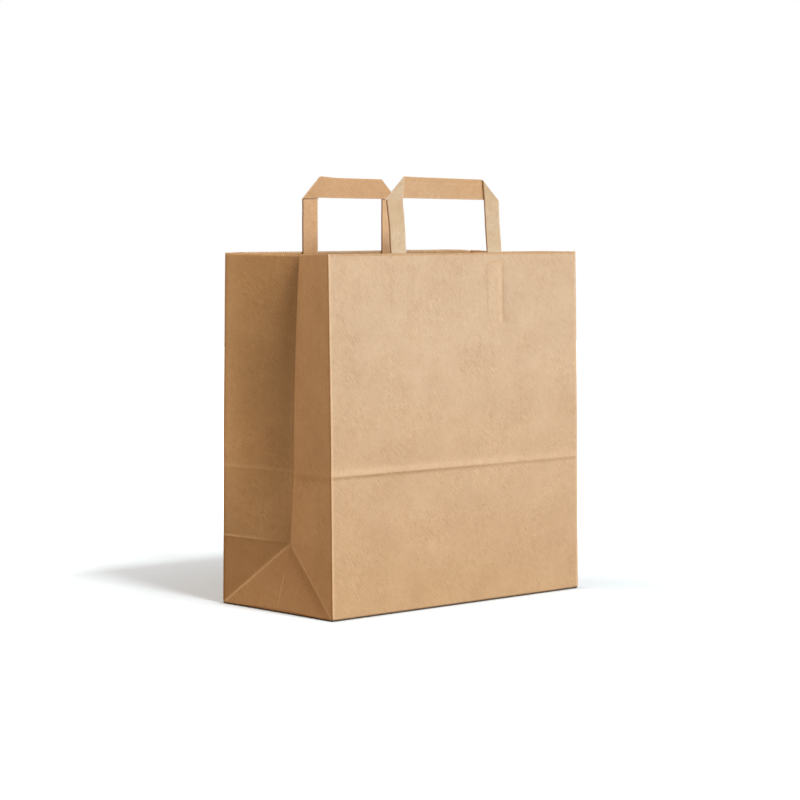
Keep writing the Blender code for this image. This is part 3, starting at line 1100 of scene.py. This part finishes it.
def cloud(tree, flat, size, detail, seed):
    """Noise with blotches of about this size."""
    mapping = node(tree, "ShaderNodeMapping", Location=(seed, seed * 0.7, seed * 1.3))
    tree.links.new(flat, mapping.inputs["Vector"])
    texture = node(tree, "ShaderNodeTexNoise", Scale=1.0 / size, Detail=detail, Roughness=0.62)
    tree.links.new(mapping.outputs["Vector"], texture.inputs["Vector"])
    return texture.outputs["Fac"]


def remap(tree, value, low, high, to_low, to_high):
    ends = {"From_Min": low, "From_Max": high, "To_Min": to_low, "To_Max": to_high}
    made = node(tree, "ShaderNodeMapRange", **ends)
    tree.links.new(value, made.inputs["Value"])
    return made.outputs["Result"]


def patchy(tree, flat, size, detail, seed, low, high):
    """Blotches of about this size, between two values."""
    return remap(tree, cloud(tree, flat, size, detail, seed), 0.3, 0.7, low, high)


def calculate(tree, operation, first, second):
    made = node(tree, "ShaderNodeMath")
    made.operation = operation
    for socket, value in zip(made.inputs, (first, second)):
        if isinstance(value, (int, float)):
            socket.default_value = value
        else:
            tree.links.new(value, socket)
    return made.outputs["Value"]


def blend_colour(tree, share, first, second):
    made = node(tree, "ShaderNodeMix")
    made.data_type = "RGBA"
    made.clamp_factor = True
    tree.links.new(share, made.inputs["Factor"])
    for socket, value in ((made.inputs[6], first), (made.inputs[7], second)):
        if isinstance(value, tuple):
            socket.default_value = (*value, 1.0)
        else:
            tree.links.new(value, socket)
    return made.outputs[2]


def scaled(colour, scale):
    return tuple(min(1.0, part * factor) for part, factor in zip(colour, scale))


def kraft(name, colour, seed):
    """Kraft paper: clouds of pulp, drawn-out fibres, flecks, rubbed folds with painted highlights and
    shade, painted tone and tint, and the sheen of pressed paper.
    """
    material, tree, shader = new_material(name)
    link = tree.links.new
    flat = attribute(tree, "flat").outputs["Vector"]
    # Read from the mesh: rubs with painted highlights and shade, gloss with its painted tint, and
    # painted tone
    rub_and_painted_light = attribute(tree, "rub_and_painted_light").outputs["Fac"]
    gloss_and_painted_tint = attribute(tree, "gloss_and_painted_tint").outputs["Fac"]
    painted_tone = attribute(tree, "tone").outputs["Fac"]

    # Light and dark of the pulp and its fibres
    broad = patchy(tree, flat, 0.045, 3.0, seed, -0.07, 0.07)
    pulp = patchy(tree, flat, 0.0055, 4.0, seed + 11.0, -0.035, 0.035)
    grain = patchy(tree, flat, 0.0012, 3.0, seed + 23.0, -0.10, 0.10)
    tone = calculate(tree, "ADD", broad, pulp)
    tone = calculate(tree, "ADD", tone, grain)
    bump_height = calculate(tree, "ADD", pulp, grain)
    thick = remap(tree, cloud(tree, flat, 0.035, 2.0, seed + 53.0), 0.35, 0.65, 0.45, 1.5)
    for number, (angle, strength) in enumerate(FIBRES):
        lines = fibres(tree, flat, angle, 0.0100, 0.0010, seed + number)
        pale = remap(tree, lines, 0.58, 0.74, 0.0, strength)
        dark = remap(tree, lines, 0.42, 0.26, 0.0, -strength)
        both = calculate(tree, "ADD", pale, dark)
        both = calculate(tree, "MULTIPLY", both, thick)
        tone = calculate(tree, "ADD", tone, both)
        bump_height = calculate(tree, "ADD", bump_height, both)
    share = calculate(tree, "ADD", tone, 0.5)
    base = blend_colour(tree, share, scaled(colour, DARK_PULP), scaled(colour, PALE_PULP))

    # Flecks, rubbed folds with painted highlights, and painted shade
    fleck = cloud(tree, flat, 0.0030, 1.0, seed + 41.0)
    base = blend_colour(tree, remap(tree, fleck, 0.735, 0.775, 0.0, 0.55), base, FLECK)
    uneven_rub_and_highlight = patchy(tree, flat, 0.004, 2.0, seed + 3.0, 0.50, 0.95)
    rub_and_highlight = calculate(tree, "MULTIPLY", rub_and_painted_light, uneven_rub_and_highlight)
    base = blend_colour(tree, rub_and_highlight, base, scaled(colour, RUB_AND_PAINTED_HIGHLIGHT))
    painted_shade_share = calculate(tree, "MULTIPLY", rub_and_painted_light, -0.8)
    base = blend_colour(tree, painted_shade_share, base, scaled(colour, PAINTED_SHADE))

    # Painted light and shade from the tone, and a painted tint that goes with the gloss: warmer where
    # there is none, duller under it
    with_painted_tone = tree.nodes.new("ShaderNodeVectorMath")
    with_painted_tone.operation = "SCALE"
    link(base, with_painted_tone.inputs[0])
    link(painted_tone, with_painted_tone.inputs["Scale"])
    # Share of the duller painted tint of glossy lit parts, against the warmer one of shaded parts
    pressed = remap(tree, gloss_and_painted_tint, 0.5, 1.55, 0.0, 1.0)
    tint = tree.nodes.new("ShaderNodeVectorMath")
    tint.operation = "MULTIPLY"
    link(with_painted_tone.outputs["Vector"], tint.inputs[0])
    link(blend_colour(tree, pressed, SHADE_SIDE_PAINTED_TINT, LIT_SIDE_PAINTED_TINT), tint.inputs[1])
    link(tint.outputs["Vector"], shader.inputs["Base Color"])

    # Sheen of pressed paper, and the bump of pulp and fibres
    uneven = patchy(tree, flat, 0.012, 3.0, seed + 61.0, -0.04, 0.04)
    roughness = remap(tree, gloss_and_painted_tint, 0.0, 1.0, 0.72, 0.35)
    link(calculate(tree, "ADD", roughness, uneven), shader.inputs["Roughness"])
    shine = calculate(tree, "MULTIPLY", gloss_and_painted_tint, remap(tree, tone, -0.25, 0.25, 0.80, 1.20))
    gloss = calculate(tree, "ADD", calculate(tree, "MULTIPLY", shine, 0.40), 0.10)
    link(gloss, shader.inputs["Specular IOR Level"])
    link(calculate(tree, "MULTIPLY", shine, 0.60), shader.inputs["Coat Weight"])
    shader.inputs["Coat Roughness"].default_value = 0.35
    bump = node(tree, "ShaderNodeBump", Strength=0.25, Distance=0.0016)
    link(bump_height, bump.inputs["Height"])
    link(bump.outputs["Normal"], shader.inputs["Normal"])
    return material


# Studio


def camera():
    data = bpy.data.cameras.new("camera")
    data.lens = LENS
    data.sensor_width = SENSOR
    data.sensor_fit = "HORIZONTAL"
    item = scene_object("camera", data)
    item.location = CAMERA_PLACE
    item.rotation_euler = (pi / 2 - CAMERA_PITCH, 0.0, CAMERA_TURN)
    bpy.context.scene.camera = item


def lamp(name, azimuth, elevation, distance, size, power, colour):
    """An area lamp, seen from the bag at an angle to the right of the front and above the floor."""
    data = bpy.data.lights.new(name, "AREA")
    data.shape = "RECTANGLE"
    data.size, data.size_y = size
    data.energy = power
    data.color = colour
    item = scene_object(name, data)
    turn, lift = radians(azimuth), radians(elevation)
    flat_part = cos(lift)
    away = Vector((sin(turn) * flat_part, -cos(turn) * flat_part, sin(lift)))
    item.location = Vector(LAMP_AIM) + away * distance
    item.rotation_euler = (-away).to_track_quat("-Z", "Y").to_euler()


def camera_like(tree):
    """1 for rays that show the surroundings, straight, mirrored or through glass, and 0 for light."""
    path = tree.nodes.new("ShaderNodeLightPath")
    shown = calculate(tree, "MAXIMUM", path.outputs["Is Camera Ray"], path.outputs["Is Glossy Ray"])
    return calculate(tree, "MAXIMUM", shown, path.outputs["Is Transmission Ray"])


def surroundings():
    """White to look at, and a weak warm light on the bag."""
    world = bpy.data.worlds.new("surroundings")
    bpy.context.scene.world = world
    world.use_nodes = True
    tree = world.node_tree
    background = tree.nodes["Background"]
    background.inputs["Color"].default_value = (*WORLD_COLOUR, 1.0)
    background.inputs["Strength"].default_value = WORLD_STRENGTH
    white = tree.nodes.new("ShaderNodeBackground")
    white.inputs["Color"].default_value = (1.0, 1.0, 1.0, 1.0)
    choice = tree.nodes.new("ShaderNodeMixShader")
    tree.links.new(camera_like(tree), choice.inputs[0])
    tree.links.new(background.outputs[0], choice.inputs[1])
    tree.links.new(white.outputs[0], choice.inputs[2])
    tree.links.new(choice.outputs[0], tree.nodes["World Output"].inputs["Surface"])


def beside_footprint(tree, coordinates):
    """0 under the bag, rising to 1 over a short way outside its footprint."""
    parts = tree.nodes.new("ShaderNodeSeparateXYZ")
    tree.links.new(coordinates.outputs["Object"], parts.inputs[0])
    beyond = []
    for axis, reach in (("X", SIDE), ("Y", HALF)):
        distance = calculate(tree, "ABSOLUTE", parts.outputs[axis], 0.0)
        beyond.append(calculate(tree, "SUBTRACT", distance, reach))
    return remap(tree, calculate(tree, "MAXIMUM", *beyond), 0.0, GLOW_EDGE, 0.0, 1.0)


def studio_floor():
    """A floor that the camera sees white, except for the bag's shadow; its camera-only glow is
    painted light, weaker near the bag so that the shadow fades with distance.
    """
    mesh = bpy.data.meshes.new("floor")
    signs = ((-1, -1), (1, -1), (1, 1), (-1, 1))
    corners = [(x * FLOOR_REACH, y * FLOOR_REACH, FLOOR_LEVEL) for x, y in signs]
    mesh.from_pydata(corners, [], [(0, 1, 2, 3)])
    item = scene_object("floor", mesh)
    material, tree, shader = new_material("pale_floor")
    shown = camera_like(tree)
    tree.links.new(blend_colour(tree, shown, BOUNCE_TONE, FLOOR_TONE), shader.inputs["Base Color"])
    shader.inputs["Roughness"].default_value = 0.9
    shader.inputs["Specular IOR Level"].default_value = 0.0
    shader.inputs["Emission Color"].default_value = (*GLOW_COLOUR, 1.0)
    coordinates = tree.nodes.new("ShaderNodeTexCoord")
    length = tree.nodes.new("ShaderNodeVectorMath")
    length.operation = "LENGTH"
    tree.links.new(coordinates.outputs["Object"], length.inputs[0])
    # Painted light: the glow grows with distance from the bag
    near = remap(tree, length.outputs["Value"], *GLOW_NEAR)
    far = remap(tree, length.outputs["Value"], *GLOW_FAR)
    glow = calculate(tree, "ADD", near, far)
    # No painted glow just beside the footprint, which keeps the line at the bag's foot dark
    glow = calculate(tree, "MULTIPLY", glow, beside_footprint(tree, coordinates))
    glow = calculate(tree, "MULTIPLY", glow, shown)
    tree.links.new(glow, shader.inputs["Emission Strength"])
    mesh.materials.append(material)


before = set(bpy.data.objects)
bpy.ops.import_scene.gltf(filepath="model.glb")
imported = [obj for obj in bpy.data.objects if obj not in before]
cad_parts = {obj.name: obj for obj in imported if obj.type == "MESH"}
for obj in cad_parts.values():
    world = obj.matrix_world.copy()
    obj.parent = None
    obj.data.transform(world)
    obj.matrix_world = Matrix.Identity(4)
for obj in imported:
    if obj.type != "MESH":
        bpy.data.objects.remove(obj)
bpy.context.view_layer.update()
camera()

paper = kraft("kraft_sheet", KRAFT, 1.0)
strap_paper = kraft("kraft_strap", STRAP_KRAFT, 77.0)
patch_paper = kraft("kraft_patch", PATCH_KRAFT, 143.0)

front_fold = (FRONT_SPAN, FRONT_GRIP, FRONT_LEAN, FRONT_SLOPE)
rear_fold = (REAR_SPAN, REAR_GRIP, REAR_LEAN, REAR_SLOPE)
bag = bag_sheet(paper)
front = strap("front_strap", *front_fold, FRONT_CENTRE, -1, 2.0, FRONT_SKEW, strap_paper)
rear = strap("rear_strap", *rear_fold, REAR_CENTRE, 1, 5.0, REAR_SKEW, strap_paper)
front_patch = patch("front_patch", FRONT_SPAN, FRONT_CENTRE, -1, 1.0, patch_paper)
rear_patch = patch("rear_patch", REAR_SPAN, REAR_CENTRE, 1, 4.0, patch_paper)

for piece, name, slot in (
    (bag, "bag_body", "kraft_paper"),
    (front, "front_handle", "strap_paper"),
    (rear, "rear_handle", "strap_paper"),
    (front_patch, "front_handle_patch", "patch_paper"),
    (rear_patch, "rear_handle_patch", "patch_paper"),
):
    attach(piece, "root")
    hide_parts(name)

studio_floor()
surroundings()
for lamp_name, values in LAMPS.items():
    lamp(lamp_name, *values)

bpy.context.scene.view_settings.view_transform = "Standard"
